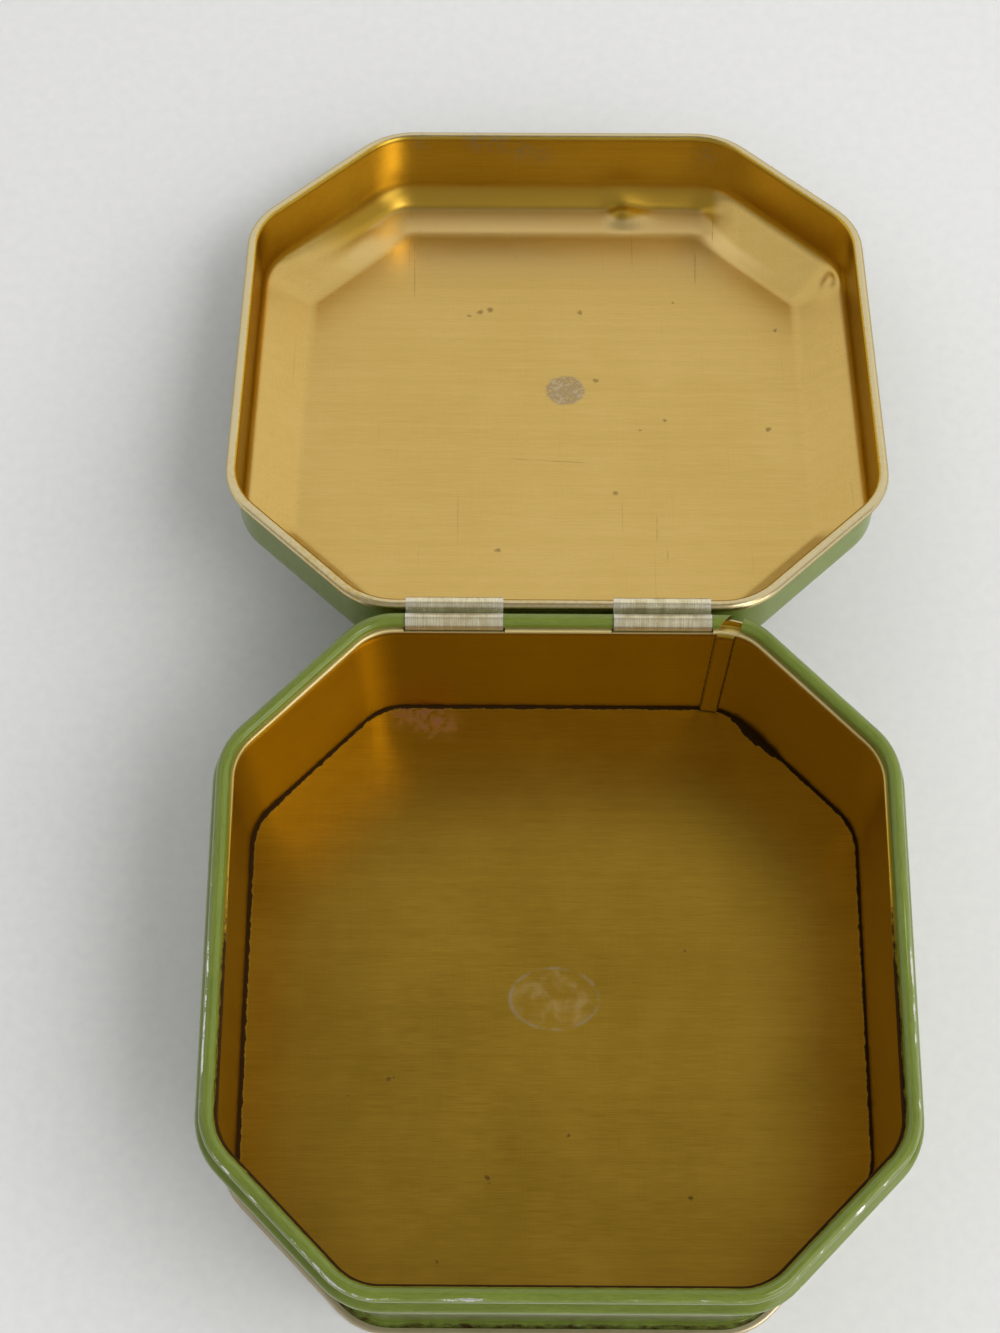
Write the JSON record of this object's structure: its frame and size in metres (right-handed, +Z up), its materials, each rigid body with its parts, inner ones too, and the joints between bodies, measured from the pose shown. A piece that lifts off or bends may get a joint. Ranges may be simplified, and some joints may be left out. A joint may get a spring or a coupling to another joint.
{
  "type": "hinged tin box",
  "caption": "Square tin box with cut corners, a rolled rim and a shallow pressed lid on strap hinges, standing open; green outside, gold lacquer inside.",
  "frame": {"origin": "middle of the underside of the base, on the surface that the box stands on", "axes": "+Z up, +Y from the front of the box to its hinges, +X to the right as seen from the front"},
  "size_m": [0.1052, 0.2053, 0.0395],
  "materials": {
    "gold_lacquered_tinplate": "clear gold lacquer over tinplate, rubbed and specked",
    "green_printed_tinplate": "glossy green enamel outside, gold lacquer inside, worn to bare tin on the edges",
    "worn_tinplate": "bare tinplate with remains of a yellowish lacquer"
  },
  "bodies": {
    "box": {"base_plate": "gold_lacquered_tinplate", "body_wall": "green_printed_tinplate"},
    "straps": {"left_hinge_strap": "worn_tinplate", "right_hinge_strap": "worn_tinplate"},
    "lid": {"lid": "green_printed_tinplate"}
  },
  "joints": [
    {"name": "strap_swing", "type": "hinge", "parent": "box", "child": "straps", "pos_m": [0, 0.0495, 0.0381], "axis": [1, 0, 0], "range_deg": [-27, 0]},
    {"name": "lid_swing", "type": "hinge", "parent": "straps", "child": "lid", "pos_m": [0, 0.05233, 0.03738], "axis": [1, 0, 0], "range_deg": [0, 220.95]}
  ],
  "couplings": [
    {"joint": "strap_swing", "follows": "lid_swing", "ratio": -0.1222}
  ]
}
